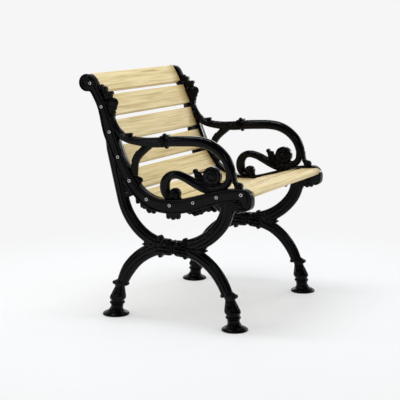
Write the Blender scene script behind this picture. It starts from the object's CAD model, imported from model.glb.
import math
import bpy
import bmesh
import numpy as np
from mathutils import Matrix, Vector


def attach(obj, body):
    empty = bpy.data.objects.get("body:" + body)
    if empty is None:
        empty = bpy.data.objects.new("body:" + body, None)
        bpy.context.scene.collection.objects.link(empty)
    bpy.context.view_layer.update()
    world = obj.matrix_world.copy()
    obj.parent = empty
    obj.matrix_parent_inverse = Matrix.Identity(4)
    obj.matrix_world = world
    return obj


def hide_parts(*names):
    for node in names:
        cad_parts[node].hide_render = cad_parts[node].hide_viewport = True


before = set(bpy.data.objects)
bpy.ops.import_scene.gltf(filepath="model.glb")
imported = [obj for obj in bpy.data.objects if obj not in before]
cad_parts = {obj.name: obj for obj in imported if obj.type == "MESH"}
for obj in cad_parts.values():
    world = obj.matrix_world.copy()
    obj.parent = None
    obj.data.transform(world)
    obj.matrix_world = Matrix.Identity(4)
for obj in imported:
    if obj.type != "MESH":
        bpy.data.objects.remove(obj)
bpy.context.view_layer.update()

# Garden armchair: two cast sides in black paint, ten pale slats and their screws.
# A side is shaped as a profile in millimetres: forward, up and outward.

scene = bpy.context.scene
scene.view_settings.view_transform = "Standard"

side = {"spacing": 612, "originY": -30.5}


def curveThrough(rows, steps):
    # a smooth curve through all rows, steps pieces between each two
    rows = np.asarray(rows, float)
    padded = np.vstack([rows[:1], rows, rows[-1:]])
    t = (np.arange(steps) / steps)[:, None]
    spans = []
    for i in range(len(rows) - 1):
        a, b, c, d = padded[i:i + 4]
        spans.append(0.5 * (2 * b + (c - a) * t + (2 * a - 5 * b + 4 * c - d) * t * t
                            + (3 * b - a - 3 * c + d) * t ** 3))
    return np.vstack(spans + [rows[-1:]])


def directions(rows):
    along = np.gradient(rows[:, :2], axis=0)
    return along / np.linalg.norm(along, axis=1)[:, None]


def shifted(rows, inset):
    # the curve moved to its right-hand side
    along = directions(rows)
    return rows[:, :2] + inset * np.column_stack([along[:, 1], -along[:, 0]])


def polar(centre, radius, angles):
    return np.column_stack([centre[0] + radius * np.cos(angles), centre[1] + radius * np.sin(angles)])


def roundAngles(count):
    return np.linspace(0, 2 * math.pi, count, endpoint=False)


def arcRows(centre, radius, start, end, step, width, thick):
    count = max(4, int(abs(math.radians(end - start)) * radius / step))
    a = np.radians(np.linspace(start, end, count + 1))
    return np.column_stack([polar(centre, radius, a), np.full(len(a), width), np.full(len(a), thick)])


def tubeFaces(n, count):
    # quads between rings of n points, and a lid over each end
    faces = [(i * n + j, i * n + n + j, i * n + n + (j + 1) % n, i * n + (j + 1) % n)
             for i in range(count - 1) for j in range(n)]
    return faces + [tuple(range(n)), tuple(range(count * n - 1, count * n - n - 1, -1))]


def sweep(rows, section, level=0.0):
    # section is in shares of half the width and half the thickness, one for all rows or one for each
    rows = np.asarray(rows, float)
    section = np.asarray(section, float)
    if section.ndim == 2:
        section = np.broadcast_to(section, (len(rows),) + section.shape)
    along = directions(rows)
    across = np.column_stack([-along[:, 1], along[:, 0]])
    plane = rows[:, None, :2] + across[:, None, :] * section[:, :, :1] * rows[:, None, 2:3] / 2
    out = section[:, :, 1:] * rows[:, None, 3:4] / 2 + level
    points = np.concatenate([plane, out], axis=2)
    return points.reshape(-1, 3), tubeFaces(points.shape[1], points.shape[0])


def lobe(f, z, startR, endF, endZ, endR, thick, endThick, around=14, stations=7, pole=0.08):
    # a leaf lobe: two round ends, each with place, radius and thickness, and the flanks between them
    start, end = np.array([f, z], float), np.array([endF, endZ], float)
    length = np.linalg.norm(end - start)
    axis = (end - start) / length
    across = np.array([-axis[1], axis[0]])
    meet = math.acos(max(-0.99, min(0.99, (startR - endR) / length)))
    rings = [(startR * math.cos(t), startR * math.sin(t), math.sin(t) * thick / 2)
             for t in np.linspace(math.pi - pole, meet, stations)]
    rings += [(length + endR * math.cos(t), endR * math.sin(t), math.sin(t) * endThick / 2)
              for t in np.linspace(meet, pole, stations)]
    a = roundAngles(around)
    points = []
    for along, radius, half in rings:
        spread = np.cos(a)[:, None] * across * radius + start + axis * along
        points.append(np.column_stack([spread, np.sin(a) * half]))
    return np.vstack(points), tubeFaces(around, len(rings))


def turned(profile, at, axis, around=56, shape=None):
    # rows of radius and distance along an axis that lies in the profile's plane
    profile = np.asarray(profile, float)
    axis = np.asarray(axis, float) / np.linalg.norm(axis)
    across = np.array([-axis[1], axis[0]])
    a = roundAngles(around)
    points = []
    for radius, along in profile:
        r = np.full(around, max(radius, 0.4))
        if shape is not None:
            r = r + shape(a, radius, along)
        plane = np.asarray(at) + axis * along + (r * np.cos(a))[:, None] * across
        points.append(np.column_stack([plane, r * np.sin(a)]))
    return np.vstack(points), tubeFaces(around, len(profile))


def disc(at, radius, thick, edge, rings=6, around=64):
    # a round cushion that lies flat in the profile's plane
    bend = np.linspace(0, math.pi / 2, rings)
    half = [(radius - edge + edge * math.sin(t), thick / 2 - edge + edge * math.cos(t)) for t in bend]
    profile = [(0.4, thick / 2)] + half + [(r, -w) for r, w in reversed(half)] + [(0.4, -thick / 2)]
    points = np.vstack([np.column_stack([polar(at, r, roundAngles(around)), np.full(around, w)])
                        for r, w in profile])
    return points, tubeFaces(around, len(profile))


def knobs(rows):
    # round buttons: place, radius and thickness
    return [disc((f, z), radius, thick, radius * 0.8, 6, 32) for f, z, radius, thick in rows]


def joined(shells):
    points, faces, count = [], [], 0
    for p, f in shells:
        points.append(p)
        faces += [tuple(i + count for i in face) for face in f]
        count += len(p)
    return np.vstack(points), faces


def spiral(centre, outer, inner, start, turns, count=90):
    k = np.linspace(0, 1, count)
    return polar(centre, outer + (inner - outer) * k ** 0.85, np.radians(start - 360 * turns * k))


def ring(centre, radius, start, end, count=20):
    return polar(centre, radius, np.radians(np.linspace(start, end, count)))


def wholeSection(crown, grooves, depth, power, fine=7):
    # a flattened oval in shares of half the width and thickness, with grooves across its faces
    edges = [-1, *grooves, 1]
    xs, ws = [], []
    for k, (a, b) in enumerate(zip(edges[:-1], edges[1:])):
        v = np.sin(np.linspace(-math.pi / 2, math.pi / 2, fine))
        x = (a + b) / 2 + v * (b - a) / 2
        body = (1 - np.abs(x) ** power) ** (1 / power) * np.sqrt(1 - crown * x * x)
        left = depth if k > 0 else 0
        right = depth if k < len(edges) - 2 else 0
        dip = np.where(v < 0, left, right) * (1 - np.sqrt(np.clip(1 - v * v, 0, 1)))
        first = 0 if k == 0 else 1
        xs.append(x[first:])
        ws.append((body - dip)[first:])
    upper = np.column_stack([np.concatenate(xs), np.clip(np.concatenate(ws), 0, 1)])
    return np.vstack([upper, upper[1:-1][::-1] * (1, -1)])


def placed(name, data):
    thing = bpy.data.objects.new(name, data)
    scene.collection.objects.link(thing)
    return thing


def finalMesh(holder):
    # what a helper object's modifiers make of its mesh; the helper goes
    mesh = bpy.data.meshes.new_from_object(holder.evaluated_get(bpy.context.evaluated_depsgraph_get()))
    bpy.data.objects.remove(holder)
    return mesh


def castTogether(shells, voxel, rounds):
    # overlapping shells become one skin with soft inner corners, as from a mould
    points, faces = joined(shells)
    blank = bpy.data.meshes.new("blank")
    blank.from_pydata(points.tolist(), [], faces)
    holder = placed("blank", blank)
    skin = holder.modifiers.new("skin", "REMESH")
    skin.mode, skin.voxel_size = "VOXEL", voxel
    soften = holder.modifiers.new("soften", "SMOOTH")
    soften.factor, soften.iterations = 0.5, rounds
    result = finalMesh(holder)
    co = np.empty(len(result.vertices) * 3)
    result.vertices.foreach_get("co", co)
    corners = np.empty(len(result.loops), dtype=np.int32)
    result.loops.foreach_get("vertex_index", corners)
    bpy.data.meshes.remove(blank)
    bpy.data.meshes.remove(result)
    return co.reshape(-1, 3), corners.reshape(-1, 4).tolist()


grooving = {"reach": 3, "fullFrom": 7}


def carve(points, lines, depth, width):
    # presses grooves into both faces along lines of the profile, less near its middle plane
    points = points.copy()
    for line in lines:
        line = np.asarray(line, float)
        low, high = line.min(0) - grooving["reach"] * width, line.max(0) + grooving["reach"] * width
        near = np.where(((points[:, :2] > low) & (points[:, :2] < high)).all(1))[0]
        if len(near) == 0:
            continue
        p = points[near, :2]
        nearest = np.full(len(near), np.inf)
        for a, b in zip(line[:-1], line[1:]):
            span = b - a
            k = np.clip(((p - a) @ span) / max(span @ span, 1e-9), 0, 1)
            nearest = np.minimum(nearest, np.linalg.norm(p - a - k[:, None] * span, axis=1))
        w = points[near, 2]
        share = np.clip(np.abs(w) / grooving["fullFrom"], 0, 1)
        points[near, 2] = w - np.sign(w) * depth * np.exp(-(nearest / width) ** 2) * share
    return points


def toWorld(points, sign):
    points = np.asarray(points, float)
    x = sign * (side["spacing"] / 2 + points[:, 2])
    return np.column_stack([x, side["originY"] - points[:, 0], points[:, 1]]) / 1000


def finishMesh(name, world, faces, material, sharp):
    mesh = bpy.data.meshes.new(name)
    mesh.from_pydata(world.tolist(), [], faces)
    shape = bmesh.new()
    shape.from_mesh(mesh)
    bmesh.ops.recalc_face_normals(shape, faces=shape.faces)
    shape.to_mesh(mesh)
    shape.free()
    mesh.shade_smooth()
    if sharp is not None:
        mesh.set_sharp_from_angle(angle=math.radians(sharp))
    mesh.materials.append(material)
    return placed(name, mesh)


def addCasting(label, node, shape, sharp=None):
    # the same casting on the right and, mirrored, on the left
    points, faces = shape
    for sign, hand in ((-1, "right"), (1, "left")):
        piece = finishMesh(hand + label, toWorld(points, sign), faces, blackPaint, sharp)
        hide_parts(hand + "_" + node)
        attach(piece, "root")
    print("made", label, len(points), "points on each side")


def carved(shells, voxel, carvings, softening=2):
    # shells cast together, with rows of grooves: lines, depth and width
    points, faces = castTogether(shells, voxel, softening)
    for lines, depth, width in carvings:
        points = carve(points, lines, depth, width)
    return points, faces


def leafCluster(rows, thin=0.88):
    # rows of a lobe's two ends, each as place and radius, and its thickness; with a rib along each
    return [lobe(*row, row[6] * thin) for row in rows], [[row[:2], row[3:5]] for row in rows]


def movedLobe(row, f):
    return (row[0] + f, *row[1:3], row[3] + f, *row[4:])


def veined(shells, lines, settings, more=()):
    # a carved cluster with the vein depth and width of its settings
    return carved(shells, settings["voxel"], [(lines, settings["veinDepth"], settings["veinWidth"]), *more])


def newSocket(group, name, kind, way, value=None):
    socket = group.interface.new_socket(name=name, in_out=way, socket_type="NodeSocket" + kind)
    if value is not None:
        socket.default_value = value
    return socket


def fill(tree, node, inputs):
    # each input gets a constant, or a link from another node's output
    for name, value in inputs.items():
        if isinstance(value, bpy.types.NodeSocket):
            tree.links.new(value, node.inputs[name])
        else:
            node.inputs[name].default_value = value
    return node


def newNode(tree, kind, inputs):
    return fill(tree, tree.nodes.new("ShaderNode" + kind), inputs)


def buildBreakup():
    # soft cloudy variation and a fine pebbled height, shared by all finishes
    group = bpy.data.node_groups.new("surfaceBreakup", "ShaderNodeTree")
    noises = {"Cloud": (9.0, 4), "Pebble": (700.0, 2)}
    for name, (scale, _) in noises.items():
        newSocket(group, name + " Scale", "Float", "INPUT", scale)
        newSocket(group, name, "Float", "OUTPUT")
    start, end = group.nodes.new("NodeGroupInput"), group.nodes.new("NodeGroupOutput")
    place = newNode(group, "TexCoord", {})
    for name, (_, detail) in noises.items():
        noise = newNode(group, "TexNoise", {"Vector": place.outputs["Object"], "Detail": detail,
                                            "Scale": start.outputs[name + " Scale"]})
        fill(group, end, {name: noise.outputs["Fac"]})
    return group


breakup = buildBreakup()


def newMaterial(name, cloudScale, pebbleScale):
    material = bpy.data.materials.new(name)
    material.use_nodes = True
    tree = material.node_tree
    variation = tree.nodes.new("ShaderNodeGroup")
    variation.node_tree = breakup
    fill(tree, variation, {"Cloud Scale": cloudScale, "Pebble Scale": pebbleScale})
    shader = tree.nodes["Principled BSDF"]
    return material, tree, shader, variation.outputs["Cloud"], variation.outputs["Pebble"]


def ramp(tree, source, stops):
    node = tree.nodes.new("ShaderNodeValToRGB")
    while len(node.color_ramp.elements) < len(stops):
        node.color_ramp.elements.new(0.5)
    for element, (place, colour) in zip(node.color_ramp.elements, stops):
        element.position = place
        element.color = (*colour, 1)
    return fill(tree, node, {"Fac": source}).outputs["Color"]


def remap(tree, source, low, high, fromLow=0.3, fromHigh=0.7, smooth=False):
    node = newNode(tree, "MapRange", {"Value": source, "From Min": fromLow, "From Max": fromHigh,
                                      "To Min": low, "To Max": high})
    node.interpolation_type = "SMOOTHSTEP" if smooth else "LINEAR"
    return node.outputs["Result"]


def mixColour(tree, a, b, share, blend="MIX"):
    node = tree.nodes.new("ShaderNodeMix")
    node.data_type = "RGBA"
    node.blend_type = blend
    return fill(tree, node, {"Factor": share, "A": a, "B": b}).outputs["Result"]


def bump(tree, height, strength, distance):
    node = newNode(tree, "Bump", {"Height": height, "Strength": strength, "Distance": distance})
    return node.outputs["Normal"]


coats = {
    "blackPaint": {"dark": (0.0006, 0.0006, 0.0009), "pale": (0.0026, 0.0025, 0.0033), "paleFrom": 0.7,
                   "smooth": 0.11, "rough": 0.21, "clouds": 11, "pebbles": 650, "pebbling": 0.5,
                   "pebbleDepth": 0.00012, "metallic": 0, "specular": 0.12},
    "zincSteel": {"dark": (0.68, 0.68, 0.67), "pale": (0.86, 0.86, 0.85), "paleFrom": 0.65,
                  "smooth": 0.32, "rough": 0.5, "clouds": 60, "pebbles": 2400, "pebbling": 0.3,
                  "pebbleDepth": 0.00005, "metallic": 0.35, "specular": 0.5},
}


def makeCoat(name):
    coat = coats[name]
    material, tree, shader, cloud, pebble = newMaterial(name, coat["clouds"], coat["pebbles"])
    tint = ramp(tree, cloud, [(0.35, coat["dark"]), (coat["paleFrom"], coat["pale"])])
    fill(tree, shader, {"Base Color": tint, "Roughness": remap(tree, cloud, coat["smooth"], coat["rough"]),
                        "Normal": bump(tree, pebble, coat["pebbling"], coat["pebbleDepth"]),
                        "Metallic": coat["metallic"], "Specular IOR Level": coat["specular"]})
    return material


wood = {
    "pale": (0.755, 0.64, 0.366), "straw": (0.646, 0.526, 0.267), "streak": (0.465, 0.35, 0.15),
    "brown": (0.3, 0.19, 0.06), "grainScale": (2.0, 60, 60), "fibreScale": (6, 420, 420),
    "apart": (7.3, 3.1, 5.7), "fibreDark": (0.72, 0.66, 0.55), "fibreShare": 0.45,
    "toneDark": (0.93, 0.9, 0.84), "stain": 0.65, "endFrom": 0.232, "endTo": 0.284,
    "smooth": 0.42, "rough": 0.58, "specular": 0.4, "clouds": 6, "pebbles": 900, "ribbing": 0.35,
    "ribDepth": 0.0003,
}


def makeWood():
    material, tree, shader, cloud, _ = newMaterial("paleWood", wood["clouds"], wood["pebbles"])
    place, tone = newNode(tree, "TexCoord", {}), newNode(tree, "Attribute", {})
    tone.attribute_name = "slatTone"
    # each slat looks up its own part of the grain
    own = tree.nodes.new("ShaderNodeVectorMath")
    own.operation = "MULTIPLY_ADD"
    fill(tree, own, {0: tone.outputs["Fac"], 1: wood["apart"], 2: place.outputs["Object"]})

    def grainOf(stretch, look):
        mapping = newNode(tree, "Mapping", {"Vector": own.outputs["Vector"], "Scale": stretch})
        return newNode(tree, "TexNoise", {"Vector": mapping.outputs["Vector"], **look}).outputs["Fac"]

    grain = grainOf(wood["grainScale"], {"Scale": 2.2, "Detail": 6, "Distortion": 0.7})
    fibre = grainOf(wood["fibreScale"], {"Scale": 1.4, "Detail": 3})
    colour = ramp(tree, grain, [(0.3, wood["streak"]), (0.45, wood["straw"]), (0.62, wood["pale"])])
    for share, source, stops in ((wood["fibreShare"], fibre, [(0.3, wood["fibreDark"]), (0.6, (1, 1, 1))]),
                                 (1, tone.outputs["Fac"], [(0, wood["toneDark"]), (1, (1, 1, 1))])):
        colour = mixColour(tree, colour, ramp(tree, source, stops), share, "MULTIPLY")
    # the left ends are stained where the leaves and the arm keep them damp
    across = newNode(tree, "SeparateXYZ", {"Vector": place.outputs["Object"]}).outputs["X"]
    ends = remap(tree, across, 0, wood["stain"], wood["endFrom"], wood["endTo"])
    fill(tree, shader, {"Base Color": mixColour(tree, colour, (*wood["brown"], 1), ends),
                        "Roughness": remap(tree, cloud, wood["smooth"], wood["rough"]),
                        "Normal": bump(tree, fibre, wood["ribbing"], wood["ribDepth"]),
                        "Specular IOR Level": wood["specular"]})
    return material


blackPaint, paleWood, zincSteel = makeCoat("blackPaint"), makeWood(), makeCoat("zincSteel")
print("made materials")


rail = {
    "line": [
        [-304, 837], [-281, 796], [-253.5, 746], [-222.5, 661.5], [-202, 606], [-184, 563], [-161.5, 522],
        [-137, 486], [-104, 455], [-60, 436], [0, 433], [50, 441], [100, 455], [165, 473], [215, 485],
        [262, 489],
    ],
    "steps": 3, "step": 3.2, "half": 21, "web": 17, "bead": 6.5, "beadHeight": 4, "sharp": 48,
    # inset and height of the ledge from the inner face, of the wall, and of the hollow from the rim and web
    "ledge": [(13, 0), (12, 1), (12, 10.5), (11, 11.5), (2, 11.5), (0.6, 12.2), (0, 13.5)],
    "wall": [(-0.4, -3), (-0.4, 6), (0, 13), (0, 15.5)], "hollow": [(0.8, -0.5), (2.2, 0), (2.9, 0)],
    "ridgeInset": 12.9, "ridge": 3.2, "ridgeHeight": 6, "ridgeTips": (4, 8), "tip": 0.2,
    "curl": 4.2, "curlHeight": 7.6, "curlTo": 0.5, "curlPoints": 40,
    "curls": [((-331, 819.5), 20, 420, 20), ((262, 450), 60, -150, 26)],
    # for reading the outline from the frame, in metres
    "flatWithin": 1e-5, "largestGap": 0.0006,
}
railEdge = curveThrough(rail["line"], rail["steps"])


def outlineOf(node):
    # the profile's outline: where the node's walls meet its flat inner face
    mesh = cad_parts[node].data
    co = np.empty(len(mesh.vertices) * 3)
    mesh.vertices.foreach_get("co", co)
    co = co.reshape(-1, 3)
    flat = co[:, 0].max() - rail["flatWithin"]
    edges = []
    for face in mesh.polygons:
        corners = list(face.vertices)
        if min(co[i, 0] for i in corners) > flat:
            continue
        edges += [(co[a, 1:], co[b, 1:]) for a, b in zip(corners, corners[1:] + corners[:1])
                  if co[a, 0] > flat and co[b, 0] > flat]
    starts, ends = np.array([e[0] for e in edges]), np.array([e[1] for e in edges])
    unused = np.ones(len(edges), bool)
    best = []
    while unused.any():
        here = int(np.argmax(unused))
        loop = []
        while unused[here]:
            unused[here] = False
            loop.append(starts[here])
            away = np.linalg.norm(starts - ends[here], axis=1) + np.where(unused, 0, 10)
            if away.min() > rail["largestGap"]:
                break
            here = int(np.argmin(away))
        if len(loop) > len(best):
            best = loop
    loop = np.array(best) * 1000
    return np.column_stack([side["originY"] - loop[:, 0], loop[:, 1]])


def evenLoop(loop, step):
    closed = np.vstack([loop, loop[:1]])
    lengths = np.concatenate([[0], np.cumsum(np.linalg.norm(np.diff(closed, axis=0), axis=1))])
    places = np.linspace(0, lengths[-1], int(lengths[-1] / step), endpoint=False)
    even = np.column_stack([np.interp(places, lengths, closed[:, k]) for k in (0, 1)])
    for _ in range(3):
        even = 0.25 * np.roll(even, 1, 0) + 0.5 * even + 0.25 * np.roll(even, -1, 0)
    area = 0.5 * np.sum(even[:, 0] * np.roll(even[:, 1], -1) - even[:, 1] * np.roll(even[:, 0], -1))
    return even if area > 0 else even[::-1]


def makeRail():
    loop = evenLoop(outlineOf("right_rail"), rail["step"])
    along = np.roll(loop, -1, 0) - np.roll(loop, 1, 0)
    along /= np.linalg.norm(along, axis=1)[:, None]
    inward = np.column_stack([-along[:, 1], along[:, 0]])
    half, web, bead = rail["half"], rail["web"], rail["bead"]
    wall = [(inset, level - half) for inset, level in rail["ledge"]] + rail["wall"]
    wall += [(bead / 2 * (1 - math.cos(t)), web + rail["beadHeight"] * math.sin(t))
             for t in np.linspace(0, math.pi, 9)]
    wall += [(bead + inset, web + level) for inset, level in rail["hollow"]]
    rings = [np.column_stack([loop + inward * inset, np.full(len(loop), w)]) for inset, w in wall]
    shells = [(np.vstack(rings), tubeFaces(len(loop), len(rings)))]
    ridgeLine = shifted(curveThrough(rail["line"], 8), rail["ridgeInset"])[4:-2]
    width = np.full(len(ridgeLine), float(rail["ridge"]))
    first, last = rail["ridgeTips"]
    width[:first] *= np.linspace(rail["tip"], 1, first)
    width[-last:] *= np.linspace(1, rail["tip"], last)
    raised = [(ridgeLine, width, rail["ridgeHeight"])]
    count = rail["curlPoints"]
    for centre, start, end, radius in rail["curls"]:
        reach = np.linspace(radius, radius * rail["curlTo"], count)
        tips = np.minimum(np.linspace(rail["tip"], 6, count), np.linspace(6, rail["tip"], count))
        raised.append((polar(centre, reach, np.radians(np.linspace(start, end, count))),
                       rail["curl"] * np.clip(tips, 0, 1), rail["curlHeight"]))
    shells += [sweep(np.column_stack([line, wide, np.full(len(wide), high)]), wholeSection(0, [], 0, 2), web)
               for line, wide, high in raised]
    addCasting("SideRail", "rail", joined(shells), rail["sharp"])


makeRail()


member = {
    "slim": 43.5, "broad": 50, "thick": 31, "grooves": (-0.34, 0.34), "groove": 0.2, "crown": 0.5,
    "power": 3.2, "step": 5, "sharp": 45,
}
memberSection = wholeSection(member["crown"], member["grooves"], member["groove"], member["power"])
crossing = {"height": 265, "reach": 96, "lap": 5}


def memberArc(centre, radius, start, end, width):
    return arcRows(centre, radius, start, end, member["step"], width, member["thick"])


def crossingAngle(radius):
    # from the middle of the knot to where a member leaves it, less the overlap
    return math.degrees(math.asin(crossing["reach"] / radius)) - math.degrees(crossing["lap"] / radius)


rearArc = {
    "radius": 204, "lean": 13.5, "top": 652, "fade": 60, "thinner": 17, "voxel": 2.2, "softening": 3,
    # lobes and veins are placed from where the straight stay begins
    "leaves": [
        (12, 436, 14, 40, 444, 10, 26, 22), (8, 450, 16, 34, 466, 12, 24, 24),
        (4, 470, 17, 18, 496, 12, 24, 24), (-2, 500, 15, 4, 530, 9, 24, 24),
        (-12, 530, 12, -16, 580, 6, 24, 24), (26, 452, 12, 46, 456, 8, 22, 22),
    ],
    "veins": [
        [(8, 430), (24, 436), (40, 444)], [(2, 440), (18, 456), (34, 466)], [(0, 456), (10, 478), (18, 496)],
        [(-4, 486), (0, 508), (4, 530)],
    ],
    "veinDepth": 2.6, "veinWidth": 2.6,
}


def makeRearArc():
    r, lean = rearArc["radius"], math.radians(rearArc["lean"])
    start, end = 180 + rearArc["lean"], 270 - crossingAngle(r)
    arc = memberArc((0, crossing["height"] + r), r, start, end, member["slim"])
    foot, up = arc[0], (-math.sin(lean), math.cos(lean))
    length = (rearArc["top"] - foot[1]) / up[1]
    # the stay thins out at its top, where it runs into the back of the rail
    stay = []
    for s in np.linspace(length, 8, 24):
        thinner = np.interp(s, [length - rearArc["fade"], length], [0, rearArc["thinner"]])
        stay.append([foot[0] + up[0] * s, foot[1] + up[1] * s, member["slim"] - thinner, member["thick"]])
    leaves = [lobe(*movedLobe(row, foot[0])) for row in rearArc["leaves"]]
    veins = [np.add(vein, (foot[0], 0)) for vein in rearArc["veins"]]
    spray = carved(leaves, rearArc["voxel"], [(veins, rearArc["veinDepth"], rearArc["veinWidth"])],
                   rearArc["softening"])
    shape = joined([sweep(np.vstack([stay, arc]), memberSection), spray])
    addCasting("RearArc", "rear_arc", shape, member["sharp"])


frontArc = {"big": 225, "small": 125, "reach": 205, "turn": 53.1301, "end": 430, "neck": 24}


def makeFrontArc():
    big, small, reach, end = frontArc["big"], frontArc["small"], frontArc["reach"], frontArc["end"]
    turn = 270 + frontArc["turn"]
    first = memberArc((0, crossing["height"] + big), big, 270 + crossingAngle(big), turn, member["broad"])
    second = memberArc((reach - small, end), small, turn, 360, member["broad"])
    neck = [[reach, end + s, member["broad"], member["thick"]] for s in np.linspace(6, frontArc["neck"], 4)]
    shape = sweep(np.vstack([first, second[1:], neck]), memberSection)
    addCasting("FrontArc", "front_arc", shape, member["sharp"])


leg = {
    "radius": 217, "lean": 19, "foot": 233.3, "slimEnd": 40, "taper": 62, "top": 118, "middle": 212,
    "voxel": 1.3, "softening": 1, "frontSize": 0.99, "rearSize": 1.02, "capR": 2,
    # the tongue between the knobs, and the folds beside it: start, aside, height, aside and height of the end
    "tongue": (219.5, 92, 3.5, 211.5, 124, 7, 37, 40), "foldDepth": 2.6, "foldWidth": 1.5,
    "folds": ((218.5, 3, 96, 12, 120), (217, 12, 104, 17, 121)),
    "knobs": [[188.6, 115.6, 7.2, 24], [235.2, 117, 7.4, 24]],
    "axis": [
        [0, 233.6], [16, 231], [32, 228.6], [44, 227.6], [62, 225.3], [71, 223.4], [86, 220.2], [101, 216.4],
        [118, 212.4], [130, 210],
    ],
    "ankle": [
        [17.8, -6], [20.2, -3], [20.6, 0], [19.6, 6], [18.2, 12], [17.8, 16.6], [19.4, 22], [22.5, 31.6],
        [24.9, 39.5], [27.1, 46.6], [28.3, 52], [28.3, 56.5], [26.7, 60], [24.3, 63], [23.6, 65.8],
        [23.9, 68.4], [25.3, 70.4], [26.9, 72], [27, 74.2], [25.3, 76.6], [23.1, 79.2], [21.7, 81.4],
        [22.3, 83], [21.1, 85], [21.1, 87], [22.1, 88.4], [21.1, 90.4], [21.7, 92.6], [22.4, 95.4],
        [24.4, 99], [28, 102.6],
    ],
    "dome": [
        [44.2, 0], [45.8, 0.8], [46.4, 2.2], [46.4, 3.8], [45.6, 5.6], [44, 7.6], [41, 9.7], [36.6, 11.8],
        [32, 13.8], [28, 16], [24.8, 18.8], [22, 22.6], [19, 27],
    ],
}


# on each face of the ankle: a hollow almond, a button below it and a rib down both sides
relief = {
    "almondAt": 34, "almond": (4.6, 10), "almondDepth": 5.4, "rim": (7, 13), "rimWidth": 0.16,
    "rimHeight": 2.4, "buttonAt": 50, "button": 4.5, "buttonHeight": 3.4,
    "halo": 6.6, "haloWidth": 1.3, "haloDepth": 3.2,
    "split": 11.5, "splitLean": 0.1, "splitFrom": 10, "splitWidth": 1.7, "splitDepth": 2.8,
    "from": 6, "to": 64, "fade": 8,
}


def ankleRelief(a, radius, along):
    aside = np.minimum(np.abs(a - math.pi / 2), np.abs(a - 3 * math.pi / 2)) * radius
    below = along - relief["almondAt"]
    inner, outer = [np.sqrt((aside / wide) ** 2 + (below / high) ** 2)
                    for wide, high in (relief["almond"], relief["rim"])]
    almond = np.clip(1 - inner ** 2, 0, 1)
    rim = np.exp(-((outer - 1) / relief["rimWidth"]) ** 2)
    far = np.sqrt(aside ** 2 + (along - relief["buttonAt"]) ** 2)
    button = np.clip(1 - (far / relief["button"]) ** 2, 0, 1)
    halo = np.exp(-((far - relief["halo"]) / relief["haloWidth"]) ** 2)
    leaning = relief["split"] + relief["splitLean"] * (along - relief["splitFrom"])
    split = np.exp(-((aside - leaning) / relief["splitWidth"]) ** 2)
    fade = (np.clip((along - relief["from"]) / relief["fade"], 0, 1)
            * np.clip((relief["to"] - along) / relief["fade"], 0, 1))
    return fade * (relief["buttonHeight"] * button - relief["haloDepth"] * halo
                   - relief["almondDepth"] * almond + relief["rimHeight"] * rim
                   - relief["splitDepth"] * split)


def legShape(width, grow):
    r, middle = leg["radius"], leg["middle"]
    rows = memberArc((0, crossing["height"] - r), r, 90 - crossingAngle(r), leg["lean"] - 1, width)
    # the member slims towards its ankle
    toEnd = np.linalg.norm(rows[:, :2] - rows[-1, :2], axis=1)
    rows[:, 2] = np.interp(toEnd, [0, leg["taper"]], [leg["slimEnd"], width])
    arch = sweep(rows, memberSection)
    # the ankle is turned about an upright axis, then its rings slide onto its leaning centre line
    rows = curveThrough(np.array(leg["ankle"]) * (grow, 1), 3)
    rows = np.vstack([(leg["capR"], rows[0, 1]), rows, (leg["capR"], rows[-1, 1])])
    bulb, bulbFaces = turned(rows, (0, leg["top"]), (0, -1), 96, ankleRelief)
    heights, centres = np.array(leg["axis"]).T
    bulb[:, 0] += np.interp(bulb[:, 1], heights, centres)
    shells = [(bulb, bulbFaces)] + knobs(leg["knobs"])
    for knobRow in leg["knobs"]:
        way = np.sign(knobRow[0] - middle)
        shells.append(lobe(middle + way * 5, 124, 9, knobRow[0] - way * 5, 120, 6.5, 33, 26))
    shells.append(lobe(*leg["tongue"]))
    folds = [[(f + way * aside, z), (middle + way * endAside, endZ)]
             for f, aside, z, endAside, endZ in leg["folds"] for way in (-1, 1)]
    skin = carved(shells, leg["voxel"], [(folds, leg["foldDepth"], leg["foldWidth"])], leg["softening"])
    dome = np.array([[1, 0]] + leg["dome"] + [[1, 27]]) * (grow ** 1.5, 1)
    return joined([arch, skin, turned(dome, (leg["foot"], 0), (0, 1), 80)])


def makeLegs():
    addCasting("FrontLeg", "front_leg", legShape(member["slim"], leg["frontSize"]), member["sharp"])
    points, faces = legShape(member["broad"], leg["rearSize"])
    backward = (points * np.array([-1, 1, 1]), [face[::-1] for face in faces])
    addCasting("RearLeg", "rear_leg", backward, member["sharp"])


makeRearArc()
makeFrontArc()
makeLegs()


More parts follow.
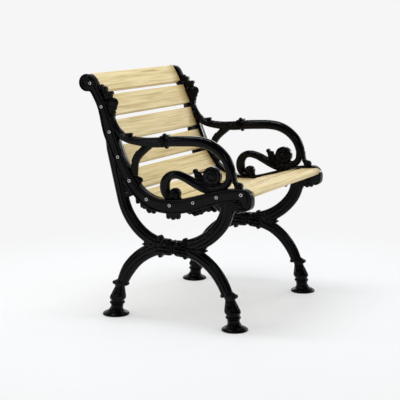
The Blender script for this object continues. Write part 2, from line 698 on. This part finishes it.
# the knot of leaves where the arcs cross
knot = {
    "voxel": 1.4, "step": 4, "thinner": 0.985, "fullness": 0.7, "lobeEnd": 0.9, "section": (0.3, (), 0, 2.2),
    # bands: place, middle, height, width and thickness
    "bands": [[-7, 266, 43, 9, 36], [1.5, 267, 45.5, 10, 41], [9.5, 266, 44, 9, 36]],
    "rear": [
        (-18, 283, 10.5, -41, 283, 11, 37), (-41, 284, 10, -49, 292, 8.5, 34),
        (-14, 245, 11, -37, 245, 11.5, 37), (-39, 244, 10, -47, 237, 8.5, 34), (-14, 271, 7, -60, 275, 6, 46),
        (-14, 259, 7, -60, 257, 6, 45), (-40, 266, 6, -84, 266, 6, 38), (-76, 266, 9, -106, 267, 6, 31),
        (-102, 270, 4.5, -111, 274, 4, 27), (-106, 267, 5, -117, 266, 4, 29),
        (-102, 264, 4.5, -111, 259, 4, 25),
    ],
    "front": [
        (20, 280.5, 10.5, 32, 280, 11.5, 37), (36, 282, 10, 43, 289, 8.5, 34),
        (16, 245, 11, 34, 244, 11.5, 37), (37, 244, 10, 44, 239, 8.5, 34), (16, 272, 7, 44, 280, 7, 45),
        (16, 259, 7, 62, 256, 6, 45), (40, 268, 7, 84, 265, 6, 38), (76, 264, 9, 104, 264, 6, 31),
        (100, 267, 4.5, 119, 272, 4, 28), (104, 264, 5.5, 125, 263, 4, 30), (100, 261, 4.5, 115, 255, 4, 28),
    ],
    "knobs": [
        [-24, 277, 6, 47], [-36, 284, 7, 45], [-30, 247, 7, 45], [-66, 274, 4.5, 43], [-64, 258, 4.5, 43],
        [-84, 266, 4.5, 38], [22, 280, 7, 45], [34, 272, 4.5, 47], [28, 247, 7, 45], [52, 281, 4.5, 42],
        [62, 262, 5, 42], [84, 264, 4.5, 38], [44, 254, 4.5, 45], [-46, 264, 4, 46], [-51.5, 296.5, 7.4, 26],
        [-50, 231.5, 7.4, 26], [45, 294, 7.2, 26], [47, 234, 7.2, 26],
    ],
    "veins": [
        [(-12, 280), (-30, 285), (-46, 293)], [(-12, 274), (-50, 281), (-66, 284)],
        [(-14, 271), (-38, 273.5), (-58, 275.5)], [(-12, 265), (-60, 266.5), (-80, 266)],
        [(-14, 259), (-38, 257.5), (-58, 257)], [(-12, 255), (-48, 250), (-64, 248)],
        [(-12, 250), (-30, 247), (-46, 239)], [(15, 277), (30, 281), (42, 290)],
        [(15, 268), (34, 270), (50, 274), (58, 282)], [(14, 265), (50, 262), (80, 264)],
        [(15, 259), (38, 257), (60, 256)], [(15, 254), (44, 250), (60, 247)],
        [(15, 249), (28, 246), (42, 239)],
    ],
    "veinDepth": 2.9, "veinWidth": 1.5, "seams": (-3.6, 6.4), "seamReach": 24, "seam": 1.3,
}


def makeKnot():
    z, reach, step = crossing["height"], crossing["reach"] + 4, knot["step"]
    slim, broad, thick = member["slim"], member["broad"], member["thick"]
    legR, rearR, frontR = leg["radius"], rearArc["radius"], frontArc["big"]
    legTurn, rearTurn, frontTurn = [math.degrees(math.asin(reach / r)) for r in (legR, rearR, frontR)]
    shells = []
    for centreZ, r, start, end, thinner, first, last in (
            (z - legR, legR, 90 - legTurn, 90 + legTurn, 1, slim, broad),
            (z + frontR, frontR, 270, 270 + frontTurn, knot["thinner"], broad, broad),
            (z + rearR, rearR, 270 - rearTurn, 270, knot["thinner"], slim, slim)):
        rows = arcRows((0, centreZ), r, start, end, step, first, thick * thinner)
        # every member is as broad as the broad ones where they cross
        nearness = np.clip(1 - np.abs(rows[:, 0]) / reach, 0, 1) ** knot["fullness"]
        ends = np.linspace(first, last, len(rows))
        rows[:, 2] = ends + (broad + 1 - ends) * nearness
        shells.append(sweep(rows, memberSection))
    for f, middle, high, wide, deep in knot["bands"]:
        rounding = ((high / 2, 4, 10), (high / 2 - 2, 1, 4), (10, 0, 0))
        rows = [[f, middle - up, wide - slimmer, deep - flatter] for up, slimmer, flatter in rounding]
        rows += [[f, middle + up, wide - slimmer, deep - flatter] for up, slimmer, flatter in rounding[::-1]]
        shells.append(sweep(rows, wholeSection(*knot["section"])))
    shells += leafCluster(knot["rear"] + knot["front"], knot["lobeEnd"])[0] + knobs(knot["knobs"])
    seams = [[(f, z - knot["seamReach"]), (f, z + knot["seamReach"])] for f in knot["seams"]]
    carvings = [(knot["veins"], knot["veinDepth"], knot["veinWidth"]), (seams, knot["seam"], knot["seam"])]
    addCasting("Knot", "knot", carved(shells, knot["voxel"], carvings))


makeKnot()


# leaves and a flower under the rail
railLeaves = {
    "voxel": 1.4, "veinDepth": 2.0, "veinWidth": 1.9,
    # depth of the rail along its line
    "depths": (34, 34, 36, 46, 41, 41, 41, 41, 43, 48, 50, 50, 48, 45, 44, 44),
    # a lobe's heights are measured down from the rail's lower side
    "lobes": [
        (-18, -8, 8, -18, 13, 8.5, 31), (0, -8, 8, 0, 15, 8.5, 31), (18, -8, 8, 18, 13, 8.5, 31),
        (-9, -8, 6, -9, 9, 6, 35), (9, -8, 6, 9, 9, 6, 35), (-139, -12, 7, -139, 8, 6, 30),
        (-128, -10, 8, -112, 11, 8, 30), (-112, -10, 8, -93, 13, 8.5, 31), (-124, -8, 5, -122, 10, 5, 27),
        (-96, -8, 6, -76, 8, 6, 28), (64, -6, 9, 84, 14, 9, 31), (86, -6, 9, 106, 13, 9, 31),
        (112, -6, 9, 134, 15, 10, 31), (134, 4, 9, 158, 24, 6, 29), (52, -6, 6, 64, 7, 6, 27),
        (76, 0, 6, 94, 15, 5, 25), (98, 0, 6, 118, 14, 6, 25),
    ],
}


def makeRailLeaves():
    depth = curveThrough([[d] for d in railLeaves["depths"]], rail["steps"])[:, 0]
    along = directions(railEdge)
    lowerSide = railEdge + depth[:, None] * np.column_stack([along[:, 1], -along[:, 0]])

    def under(f, down):
        return lowerSide[lowerSide[:, 0] >= f][0][1] - down

    shells, ribs = leafCluster([(f, under(f, down), r, endF, under(endF, endDown), endR, deep)
                                for f, down, r, endF, endDown, endR, deep in railLeaves["lobes"]])
    addCasting("RailLeaves", "rail_leaves", veined(shells, ribs, railLeaves))


# lobes in front of the front arc's neck (1) or behind it (-1), measured from its edge
bracket = {
    "voxel": 1.4, "veinDepth": 2.0, "veinWidth": 1.9,
    "lobes": [
        (1, -7, 424, 9, 5, 414, 8, 30), (1, 1, 427, 10, 19, 411, 8, 30), (1, 11, 431, 10, 35, 414, 8, 30),
        (1, 3, 437, 12, 33, 431, 12, 31), (1, 22, 424, 6, 38, 420, 6, 27), (-1, -1, 436, 9, -5, 424, 7, 29),
        (-1, -3, 440, 8, -15, 429, 8, 29), (1, -8, 412, 6, -2, 402, 5, 27),
    ],
}


def makeBracket():
    rows = [movedLobe(row, frontArc["reach"] + way * member["slim"] / 2) for way, *row in bracket["lobes"]]
    addCasting("Bracket", "bracket", veined(*leafCluster(rows), bracket))


# the leaf spray on the back, above the arm
backLeaf = {
    "voxel": 1.4, "veinDepth": 2.2, "veinWidth": 1.5, "stemDepth": 3.0, "stemWidth": 2.2,
    "lobes": [
        (-296, 788, 10, -281, 803, 10, 31), (-286, 778, 10, -267, 788, 8.5, 30),
        (-262, 770, 9, -246, 783, 6, 29), (-260, 752, 17, -236, 752, 16, 34),
        (-252, 736, 15, -238, 735, 13, 33), (-242, 732, 12, -239, 713, 9, 31),
    ],
    "buds": [
        [-281, 804.5, 10.5, 25], [-267.5, 799, 9.5, 28], [-262, 783, 11, 28], [-250, 776, 12.5, 27],
        [-242, 785.5, 7.5, 24], [-233, 752.5, 18, 28], [-236, 736, 15, 27], [-237, 720, 10.5, 26],
        [-236, 708, 7, 25],
    ],
    "tips": ((-276, 808), (-246, 782), (-226, 764), (-220, 746), (-226, 726)),
    "stem": [(-286, 800), (-262, 760), (-244, 712)],
}


def makeBackLeaf():
    veins = [curveThrough([(-240, 700), ((-246 + f) / 2 - 3, (702 + z) / 2), (f, z)], 6)
             for f, z in backLeaf["tips"]]
    veins.append(ring((-240, 757), 10, 20, 260, 24))
    shells = leafCluster(backLeaf["lobes"])[0] + knobs(backLeaf["buds"])
    stem = ([backLeaf["stem"]], backLeaf["stemDepth"], backLeaf["stemWidth"])
    addCasting("BackLeaf", "back_leaf", veined(shells, veins, backLeaf, [stem]))


makeRailLeaves()
makeBracket()
makeBackLeaf()


arm = {
    "path": [
        [-243, 708, 17, 32], [-230, 674, 22.3, 32], [-208, 645, 24.2, 35], [-173, 628.5, 27.3, 35],
        [-112, 622.5, 32, 35], [-62, 623.5, 36, 35], [-12, 629.5, 36, 35], [38, 633, 36.5, 35],
        [88, 634.5, 36, 35], [130, 628.5, 35.5, 35], [167, 611, 34.5, 35], [197, 583, 34, 35],
        [213, 551, 33.5, 35], [217.5, 518, 31, 34],
    ],
    "outer": [
        [225, 538, 17, 32], [230, 516, 12, 32], [235, 500, 10, 32], [240, 486, 10, 32], [243, 474, 13, 32],
    ],
    "inner": [
        [213, 538, 26, 35], [210, 512, 24, 35], [199, 496, 26, 35], [181, 486, 27, 35], [161, 481, 28, 35],
        [142, 479, 28, 34], [126, 480, 20, 33],
    ],
    "knob": (247, 496, 11.5, 249, 495, 11.5, 38, 38), "voxel": 1.6, "veinDepth": 1.8, "veinWidth": 2.0,
    # sections: crown, grooves, their depth and the power of the curve
    "reeded": (0.25, (-0.36, 0.36), 0.16, 2.6), "plain": (0.05, (-0.36, 0.36), 0, 2.35),
    "branch": (0.1, (), 0, 2.4), "bandSection": (0.3, (), 0, 2.3), "rimSection": (0.3, (), 0, 2),
    # grooves round the snail, by their distance from it
    "rings": (0.5, 8, 15.5, 23), "ringDepth": 2.6, "ringWidth": 1.5,
    # the collar: its place and tilt, then place across the arm, width and thickness of its band and its rims
    "collar": (-29, 630), "tilt": 13, "rimOffset": 10.5,
    "band": (
        (-18, 9, 34), (-16, 11, 42), (-9, 12, 46), (0, 12.5, 47), (9, 12, 46), (16, 11, 42), (18, 9, 34),
    ),
    "rim": ((-19.5, 5, 34), (-17, 5, 41), (0, 5, 43), (18, 5, 41), (20.5, 5, 34)),
    "lobes": [
        (231, 506, 6, 243, 502, 6, 34), (-84, 616, 12, -52, 617, 8, 32), (-190, 642, 7, -166, 646, 6, 34),
        (-228, 668, 7, -198, 645, 7, 43), (-198, 644, 7, -168, 633, 6, 44),
        (-176, 634, 5, -150, 636, 4.5, 42),
    ],
}


scroll = {
    "path": [
        [-13, 436, 22, 32], [-27, 450, 31, 32], [-32.5, 470, 35, 32], [-30, 492, 33, 32], [-15, 511, 29, 32],
        [9, 518, 28, 32], [40, 512, 29, 32], [70, 499, 31, 32], [98, 487, 34, 32], [124, 477, 32, 32],
        [150, 473, 26, 32],
    ],
    "ball": (8, 453), "ballR": 19.5, "ballThick": 40, "snail": (148, 521), "snailR": 33, "snailThick": 24,
    "eye": (150, 526), "face": (149, 523.5), "turn": (149, 523), "section": (0.08, (-0.45, 0.45), 0.06, 2.4),
    "voxel": 1.3,
    "lobes": [
        (92, 500, 12, 112, 500, 14, 33), (92, 503, 11, 95, 516, 9, 30), (92, 516, 8, 86, 531, 7, 27),
        (97, 515, 8, 100, 524, 8, 27), (112, 500, 12, 122, 496, 16, 32), (13, 447, 12, 16, 437, 14, 34),
        (130, 489, 13, 150, 486, 13, 34), (150, 488, 14, 184, 490, 12, 33), (-18, 440, 6, -4, 440, 8, 37),
    ],
    "knobs": [[84.5, 534.5, 8, 22], [98.5, 525.5, 9, 23], [107, 512, 11, 24]],
    "veins": [
        [(98, 520), (100, 526), (98, 540)], [(84, 508), (104, 497), (126, 478)],
        [(66, 510), (96, 496), (120, 474)],
    ],
}


def makeArm():
    rows = curveThrough(arm["path"], 14)
    reeded, plain = wholeSection(*arm["reeded"]), wholeSection(*arm["plain"])
    # reeded behind the collar, plain in front of it
    share = np.clip((rows[:, 0] - arm["collar"][0]) / 6 + 0.5, 0, 1)[:, None, None]
    shells = [sweep(rows, reeded * (1 - share) + plain * share)]
    shells += [sweep(curveThrough(arm[branch], 6), wholeSection(*arm["branch"]))
               for branch in ("outer", "inner")]
    at, tilt = np.array(arm["collar"]), math.radians(arm["tilt"])
    across = np.array([-math.sin(tilt), math.cos(tilt)])
    shells.append(sweep([[*(at + across * s), wide, deep] for s, wide, deep in arm["band"]],
                        wholeSection(*arm["bandSection"])))
    for way in (-1, 1):
        tip = at + across * way * 20
        shells.append(lobe(*tip, 5.8, *(tip + across * way * 1.5), 5.4, 30, 26))
    for way in (-1, 1):
        centre = at + np.array([math.cos(tilt), math.sin(tilt)]) * way * arm["rimOffset"]
        shells.append(sweep([[*(centre + across * s), wide, deep] for s, wide, deep in arm["rim"]],
                            wholeSection(*arm["rimSection"])))
    shells.append(lobe(*arm["knob"]))
    lobes, ribs = leafCluster(arm["lobes"])
    rings = [ring(scroll["snail"], scroll["snailR"] + out, 200, 345, 30) for out in arm["rings"]]
    addCasting("Arm", "arm", veined(shells + lobes, ribs, arm, [(rings, arm["ringDepth"], arm["ringWidth"])]))


brace = {
    "path": [
        [-78, 622, 24, 30], [-86, 616, 25, 30], [-100, 604, 24, 29], [-119, 588, 23, 28], [-136, 570, 22, 27],
        [-146, 550, 20, 26], [-149, 526, 19, 26], [-151, 505, 20, 26], [-157, 488, 22, 28],
    ],
    "lobes": [
        (-146, 496, 8, -131, 489, 11, 31), (-138, 482, 8, -133, 476, 7, 28), (-154, 556, 6, -147, 572, 6, 33),
        (-146, 574, 6, -136, 588, 6, 32), (-130, 590, 6, -119, 602, 6, 33), (-159, 512, 5, -155, 530, 6, 32),
        (-156, 534, 6, -153, 550, 6, 34),
    ],
    "section": (0.2, (-0.3, 0.3), 0.12, 3), "voxel": 1.5, "veinDepth": 1.6, "veinWidth": 2.0,
    "curl": (-131, 489), "curlFrom": 9, "curlBy": 7, "curlDepth": 2.4, "curlWidth": 1.7,
}


def makeBrace():
    shells = [sweep(curveThrough(brace["path"], 8), wholeSection(*brace["section"]))]
    lobes, ribs = leafCluster(brace["lobes"])
    k = np.linspace(0, 1, 24)
    curl = polar(brace["curl"], brace["curlFrom"] - brace["curlBy"] * k, np.linspace(2.6, -7.5, 24))
    # the first two lobes carry the curl and have no rib
    carving = ([curl], brace["curlDepth"], brace["curlWidth"])
    addCasting("ArmBrace", "arm_brace", veined(shells + lobes, ribs[2:], brace, [carving]))


def makeScroll():
    snail, ball, r, thick = scroll["snail"], scroll["ball"], scroll["snailR"], scroll["snailThick"]
    shells = [sweep(curveThrough(scroll["path"], 10), wholeSection(*scroll["section"])),
              disc(snail, r, thick, 5), disc(scroll["eye"], 6, thick + 8, 6),
              disc(scroll["face"], r - 11, thick + 3, 4),
              disc(ball, scroll["ballR"], scroll["ballThick"], 16)]
    shells += leafCluster(scroll["lobes"])[0] + knobs(scroll["knobs"])
    rings = [ring(snail, r + out, start, 300, 30) for out, start in ((8, 165), (15.5, 178), (23, 190))]
    carvings = [([spiral(scroll["turn"], r - 8.5, 8.5, 150, 1.35)], 4.6, 1.9),
                ([ring(snail, r + 0.5, 150, 330, 40)], 4.4, 1.7),
                ([spiral(ball, scroll["ballR"] - 3, 4, 120, 1.3, 40)], 3.2, 2.0), (rings, 3.0, 1.5),
                (scroll["veins"], 2.2, 1.6)]
    addCasting("ArmScroll", "arm_scroll", carved(shells, scroll["voxel"], carvings))


makeArm()
makeBrace()
makeScroll()


slats = {
    "count": 10, "onBack": 5, "gap": 16.5, "thick": 24, "length": 592, "edge": 3, "frontEdge": 11,
    "inset": 21, "first": 10, "last": 2, "topTrim": 6, "endBevel": 1.2, "stations": 24, "sharp": 35,
    "tones": (0.95, 0.6, 0.75, 0.5, 0.85, 0.7, 0.9, 0.55, 0.8, 0.65),
}


def slatSpots():
    line = shifted(railEdge, slats["inset"])
    heading = np.unwrap([math.atan2(d[1], d[0]) for d in np.vstack(
        [line[1] - line[0], line[2:] - line[:-2], line[-1] - line[-2]])])
    runs = np.concatenate([[0], np.cumsum(np.linalg.norm(np.diff(line, axis=0), axis=1))])
    places = np.linspace(slats["first"], runs[-1] - slats["last"], slats["count"])
    rows = [[np.interp(s, runs, line[:, 0]), np.interp(s, runs, line[:, 1]), np.interp(s, runs, heading)]
            for s in places]
    return rows, places[1] - places[0] - slats["gap"]


slatPlaces, slatWidth = slatSpots()


def roundedOblong(low, high, thick, lowR, highR, fine=6):
    points = []
    for x, r, start in ((high, highR, 0), (low, lowR, 90), (low, lowR, 180), (high, highR, 270)):
        sx = 1 if x == high else -1
        sy = 1 if start < 180 else -1
        for t in np.radians(np.linspace(start, start + 90, fine)):
            points.append((x - sx * r + r * math.cos(t), sy * (thick / 2 - r) + r * math.sin(t)))
    return np.array(points)


def makeSlats():
    half, bevel, count = slats["length"] / 2, slats["endBevel"], slats["stations"]
    stations = [(-half, bevel), (-half + bevel * 0.3, bevel * 0.3), (-half + bevel, 0)]
    stations += [(x, 0) for x in np.linspace(-half + 20, half - 20, count)]
    stations += [(half - bevel, 0), (half - bevel * 0.3, bevel * 0.3), (half, bevel)]
    for k, (f, z, turn) in enumerate(slatPlaces):
        low = -slatWidth / 2 + (slats["topTrim"] if k == 0 else 0)
        lead = slats["frontEdge"] if k == slats["count"] - 1 else slats["edge"]
        rings = []
        for x, inset in stations:
            high, thick = slatWidth / 2 - inset, slats["thick"] - 2 * inset
            p = roundedOblong(low + inset, high, thick, slats["edge"], lead)
            forward = f + p[:, 0] * math.cos(turn) - p[:, 1] * math.sin(turn)
            up = z + p[:, 0] * math.sin(turn) + p[:, 1] * math.cos(turn)
            rings.append(np.column_stack([np.full(len(p), x), side["originY"] - forward, up]) / 1000)
        world = np.vstack(rings)
        part, number = ("back", k + 1) if k < slats["onBack"] else ("seat", k + 1 - slats["onBack"])
        piece = finishMesh("%sSlat%d" % (part, number), world, tubeFaces(len(rings[0]), len(rings)), paleWood,
                           slats["sharp"])
        tone = piece.data.attributes.new("slatTone", "FLOAT", "POINT")
        tone.data.foreach_set("value", np.full(len(world), slats["tones"][k]))
        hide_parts("%s_slat_%d" % (part, number))
        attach(piece, "root")
    print("made slats", round(slatWidth, 1), "mm wide")


makeSlats()


screw = {"radius": 5.5, "height": 3.6, "socket": 7, "seat": 17, "around": 36, "seed": 7, "sharp": 30}


def screwHead():
    # a low head with a hexagon socket, round its own +Z
    a = roundAngles(screw["around"])
    flat = screw["socket"] / 2 / np.cos((a + math.pi / 6) % (math.pi / 3) - math.pi / 6)
    r, h = np.full(len(a), screw["radius"]), screw["height"]
    rings = [(flat, -1.0), (r - 0.2, -1.0), (r, 0.2), (r, h * 0.4), (r - 0.4, h * 0.75), (r - 0.9, h * 0.92),
             (flat + 0.2, h), (flat, h - 0.3)]
    points = np.vstack([np.column_stack([polar((0, 0), radius, a), np.full(len(a), z)])
                        for radius, z in rings]) / 1000
    n, m = len(a), len(rings)
    faces = [(i * n + j, i * n + (j + 1) % n, (i + 1) % m * n + (j + 1) % n, (i + 1) % m * n + j)
             for i in range(m) for j in range(n)]
    return finishMesh("screwHead", points, faces, zincSteel, screw["sharp"])


def buildScrewTree():
    tree = bpy.data.node_groups.new("screwRow", "GeometryNodeTree")
    for name, kind, value in (("Geometry", "Geometry", None), ("Head", "Object", None),
                              ("Tilt", "Float", math.pi / 2), ("Size", "Float", 1.0), ("Seed", "Int", 0),
                              ("Finish", "Material", None)):
        newSocket(tree, name, kind, "INPUT", value)
    newSocket(tree, "Geometry", "Geometry", "OUTPUT")
    kinds = {"start": "NodeGroupInput", "end": "NodeGroupOutput", "head": "GeometryNodeObjectInfo",
             "spin": "FunctionNodeRandomValue", "tilt": "ShaderNodeCombineXYZ",
             "put": "GeometryNodeInstanceOnPoints", "turn": "GeometryNodeRotateInstances",
             "solid": "GeometryNodeRealizeInstances", "dress": "GeometryNodeSetMaterial"}
    nodes = {name: tree.nodes.new(kind) for name, kind in kinds.items()}
    nodes["spin"].data_type = "FLOAT_VECTOR"
    nodes["spin"].inputs[0].default_value = (0, 0, 0)
    nodes["spin"].inputs[1].default_value = (0, 0, math.pi / 3)
    for source, output, target, entry in (
            ("start", "Head", "head", "Object"), ("start", "Seed", "spin", "Seed"),
            ("start", "Tilt", "tilt", "Y"), ("start", "Geometry", "put", "Points"),
            ("head", "Geometry", "put", "Instance"), ("tilt", "Vector", "put", "Rotation"),
            ("start", "Size", "put", "Scale"), ("put", "Instances", "turn", "Instances"),
            ("spin", 0, "turn", "Rotation"), ("turn", "Instances", "solid", "Geometry"),
            ("solid", "Geometry", "dress", "Geometry"), ("start", "Finish", "dress", "Material"),
            ("dress", "Geometry", "end", "Geometry")):
        tree.links.new(nodes[source].outputs[output], nodes[target].inputs[entry])
    return tree


def makeScrews():
    head, tree = screwHead(), buildScrewTree()
    sockets = {item.name: item.identifier for item in tree.interface.items_tree if item.in_out == "INPUT"}
    rows = np.array([[f, z, screw["seat"]] for f, z, _ in slatPlaces])
    for sign, hand in ((-1, "right"), (1, "left")):
        mesh = bpy.data.meshes.new("screwPlaces")
        mesh.from_pydata(toWorld(rows, sign).tolist(), [], [])
        holder = placed("screwPlaces", mesh)
        modifier = holder.modifiers.new("screws", "NODES")
        modifier.node_group = tree
        for name, value in (("Head", head), ("Tilt", sign * math.pi / 2), ("Size", 1.0),
                            ("Seed", screw["seed"] + sign), ("Finish", zincSteel)):
            modifier[sockets[name]] = value
        result = finalMesh(holder)
        result.name = hand + "Screws"
        piece = placed(hand + "Screws", result)
        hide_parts(hand + "_screws")
        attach(piece, "root")
        print("made screws", hand, len(result.vertices), "points")
    bpy.data.objects.remove(head)


makeScrews()


studio = {
    "reach": 60, "floorSeen": (0.748, 0.758, 0.768), "floorLit": (0.7, 0.7, 0.71),
    "backdrop": (0.92, 0.92, 0.92), "nearEdge": 0.7, "farEdge": 1.6, "floorGlow": 0.31,
    "worldLevel": 0.9, "worldTint": (0.975, 0.985, 1),
    "room": (0.05, 0.05, 0.055), "backdropWay": (0.85, 0.43, -0.3), "roomEdge": 0.15, "backdropEdge": 0.8,
}


def largest(tree, sockets):
    total = sockets[0]
    for socket in sockets[1:]:
        larger = tree.nodes.new("ShaderNodeMath")
        larger.operation = "MAXIMUM"
        total = fill(tree, larger, {0: total, 1: socket}).outputs["Value"]
    return total


def seenRay(tree):
    # 1 for what the camera sees directly, in a mirror or through glass
    path = newNode(tree, "LightPath", {})
    return largest(tree, [path.outputs["Is %s Ray" % kind] for kind in ("Camera", "Glossy", "Transmission")])


def makeFloor():
    mesh = bpy.data.meshes.new("floor")
    reach = studio["reach"]
    mesh.from_pydata([(-reach, -reach, 0), (reach, -reach, 0), (reach, reach, 0), (-reach, reach, 0)], [],
                     [(0, 1, 2, 3)])
    floor = placed("floor", mesh)
    material = bpy.data.materials.new("paleFloor")
    material.use_nodes = True
    tree = material.node_tree
    shader = tree.nodes["Principled BSDF"]
    colour = mixColour(tree, (*studio["floorLit"], 1), (*studio["floorSeen"], 1), seenRay(tree))
    fill(tree, shader, {"Base Color": colour, "Roughness": 0.75, "Specular IOR Level": 0.1})
    # away from the chair the floor passes over into the backdrop
    glow = newNode(tree, "Emission", {"Color": (*studio["backdrop"], 1)})
    place, length = newNode(tree, "TexCoord", {}), tree.nodes.new("ShaderNodeVectorMath")
    length.operation = "LENGTH"
    fill(tree, length, {0: place.outputs["Object"]})
    fade = remap(tree, length.outputs["Value"], studio["floorGlow"], 1, studio["nearEdge"],
                 studio["farEdge"], True)
    mix = newNode(tree, "MixShader", {"Fac": fade, 1: shader.outputs["BSDF"], 2: glow.outputs["Emission"]})
    fill(tree, tree.nodes["Material Output"], {"Surface": mix.outputs["Shader"]})
    mesh.materials.append(material)


def makeWorld():
    world = bpy.data.worlds.new("studio")
    scene.world = world
    world.use_nodes = True
    tree = world.node_tree
    ambient = tree.nodes["Background"]
    fill(tree, ambient, {"Color": (*studio["worldTint"], 1), "Strength": studio["worldLevel"]})
    # reflections show the backdrop behind the chair, and a darker room on the camera's side
    facing = tree.nodes.new("ShaderNodeVectorMath")
    facing.operation = "DOT_PRODUCT"
    fill(tree, facing, {0: newNode(tree, "TexCoord", {}).outputs["Generated"], 1: studio["backdropWay"]})
    share = remap(tree, facing.outputs["Value"], 0, 1, studio["roomEdge"], studio["backdropEdge"], True)
    direct = newNode(tree, "LightPath", {}).outputs["Is Camera Ray"]
    colour = mixColour(tree, (*studio["room"], 1), (*studio["backdrop"], 1), largest(tree, [direct, share]))
    seen = newNode(tree, "Background", {"Color": colour})
    mix = newNode(tree, "MixShader", {"Fac": seenRay(tree), 1: ambient.outputs["Background"],
                                      2: seen.outputs["Background"]})
    fill(tree, tree.nodes["World Output"], {"Surface": mix.outputs["Shader"]})


# place, height aimed at, size and watts
softboxes = {
    "overhead": ((-0.2, 0.5, 3.0), 0.4, (0.3, 1.6), 32),
    "leftFront": ((-3.4, -1.6, 2.4), 0.5, (0.1, 1.2), 8),
    "rightFront": ((1.9, -3.0, 2.0), 0.5, (0.1, 1.2), 9),
    "leftRear": ((-2.6, 1.7, 1.6), 0.5, (0.1, 1.2), 6.5),
    "farSide": ((3.4, 1.8, 1.8), 0.5, (2.4, 0.5), 16),
    "farFront": ((3.2, -1.3, 1.3), 0.5, (0.35, 0.9), 14),
    "behind": ((-1.0, 3.0, 2.0), 0.6, (0.1, 1.2), 8),
}


def makeLights():
    for name, (at, aim, size, watts) in softboxes.items():
        lamp = bpy.data.lights.new(name, "AREA")
        lamp.shape = "RECTANGLE"
        lamp.size, lamp.size_y = size
        lamp.energy = watts
        holder = placed(name, lamp)
        holder.visible_camera = False
        towards = (Vector((0, 0, aim)) - Vector(at)).to_track_quat("-Z", "Y").to_matrix().to_4x4()
        holder.matrix_world = Matrix.Translation(at) @ towards


view = {"azimuth": -63.10, "elevation": 9.66, "lens": 106.04, "at": (-3.7995, -1.9044, 1.1040)}


def makeCamera():
    az, el = math.radians(view["azimuth"]), math.radians(view["elevation"])
    back = Vector((math.sin(az) * math.cos(el), -math.cos(az) * math.cos(el), math.sin(el)))
    right = Vector((math.cos(az), math.sin(az), 0))
    matrix = Matrix((right, back.cross(right), back)).transposed().to_4x4()
    matrix.translation = view["at"]
    camera = bpy.data.cameras.new("photoView")
    camera.lens = view["lens"]
    camera.sensor_width = 36
    holder = placed("photoView", camera)
    holder.matrix_world = matrix
    scene.camera = holder


makeFloor()
makeWorld()
makeLights()
makeCamera()

print("sizes written")
